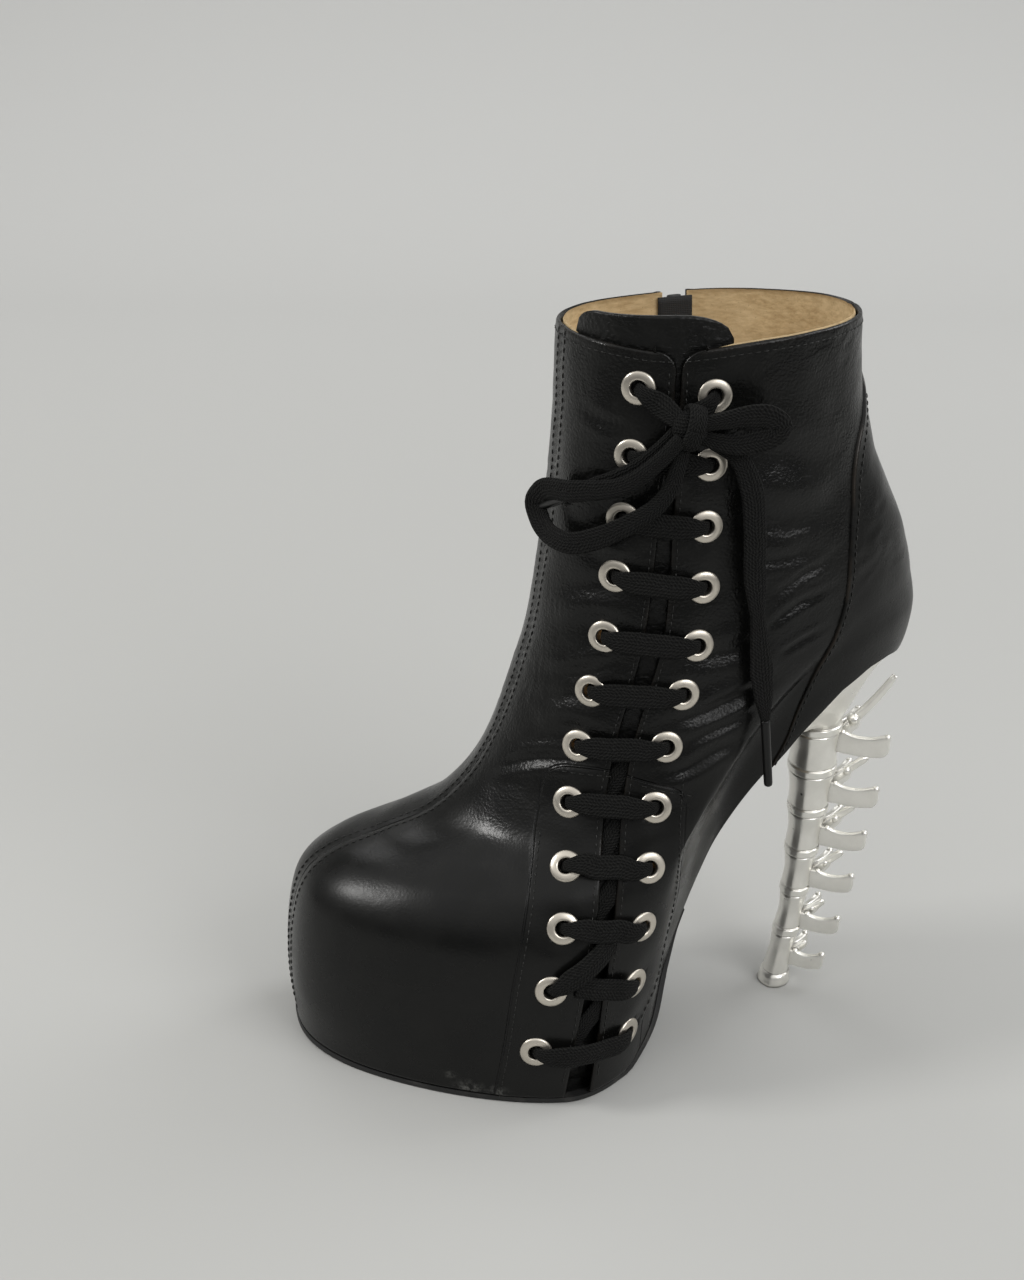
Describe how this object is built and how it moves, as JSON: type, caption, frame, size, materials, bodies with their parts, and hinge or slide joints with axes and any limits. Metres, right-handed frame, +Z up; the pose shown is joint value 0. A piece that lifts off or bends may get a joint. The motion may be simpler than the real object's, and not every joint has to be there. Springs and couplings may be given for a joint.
{
  "type": "heeled boot",
  "caption": "Left platform ankle boot with a side-laced leather shaft, an inner zip with a hinged pull tab, and a tall cast heel shaped like a spine",
  "frame": {"origin": "on the floor, at the middle of the boot's floor outline", "axes": "toe towards -Y, laced outer side towards +X, collar up along +Z"},
  "size_m": [0.1048, 0.2216, 0.2646],
  "materials": {
    "black_leather": "smooth semi-gloss black leather, fine grain, beige lining",
    "tan_leather": "matt beige lining leather",
    "black_rubber": "matt black thin sole",
    "silver_coat": "satin silver metallic coat",
    "nickel": "polished nickel plate",
    "black_tape": "black woven tape with a black coil",
    "black_cotton": "flat black woven lace",
    "black_plastic": "black lace tip"
  },
  "bodies": {
    "boot": {"upper": "black_leather", "counter": "black_leather", "tongue": "black_leather", "platform": "black_leather", "insole": "tan_leather", "outsole": "black_rubber", "heel": "silver_coat", "heel_tip": "silver_coat", "zip_tape": "black_tape", "zip_slider": "nickel", "eyelet_front_01": "nickel", "eyelet_front_02": "nickel", "eyelet_front_03": "nickel", "eyelet_front_04": "nickel", "eyelet_front_05": "nickel", "eyelet_front_06": "nickel", "eyelet_front_07": "nickel", "eyelet_front_08": "nickel", "eyelet_front_09": "nickel", "eyelet_front_10": "nickel", "eyelet_front_11": "nickel", "eyelet_front_12": "nickel", "eyelet_back_01": "nickel", "eyelet_back_02": "nickel", "eyelet_back_03": "nickel", "eyelet_back_04": "nickel", "eyelet_back_05": "nickel", "eyelet_back_06": "nickel", "eyelet_back_07": "nickel", "eyelet_back_08": "nickel", "eyelet_back_09": "nickel", "eyelet_back_10": "nickel", "eyelet_back_11": "nickel", "eyelet_back_12": "nickel", "lace_bar_01": "black_cotton", "lace_bar_02": "black_cotton", "lace_bar_03": "black_cotton", "lace_bar_04": "black_cotton", "lace_bar_05": "black_cotton", "lace_bar_06": "black_cotton", "lace_bar_07": "black_cotton", "lace_bar_08": "black_cotton", "lace_bar_09": "black_cotton", "lace_bar_10": "black_cotton", "lace_bar_11": "black_cotton", "lace_bar_12": "black_cotton", "lace_knot": "black_cotton", "lace_loop_front": "black_cotton", "lace_loop_back": "black_cotton", "lace_end_long": "black_cotton", "lace_end_short": "black_cotton", "lace_aglet_long": "black_plastic", "lace_aglet_short": "black_plastic"},
    "zip_pull": {"zip_pull": "nickel"}
  },
  "joints": [
    {"name": "zip_pull_hinge", "type": "hinge", "parent": "boot", "child": "zip_pull", "pos_m": [-0.04963, 0.03124, 0.24199], "axis": [-0.0331, 0.9986, 0.0421], "range_deg": [0, 150]}
  ]
}
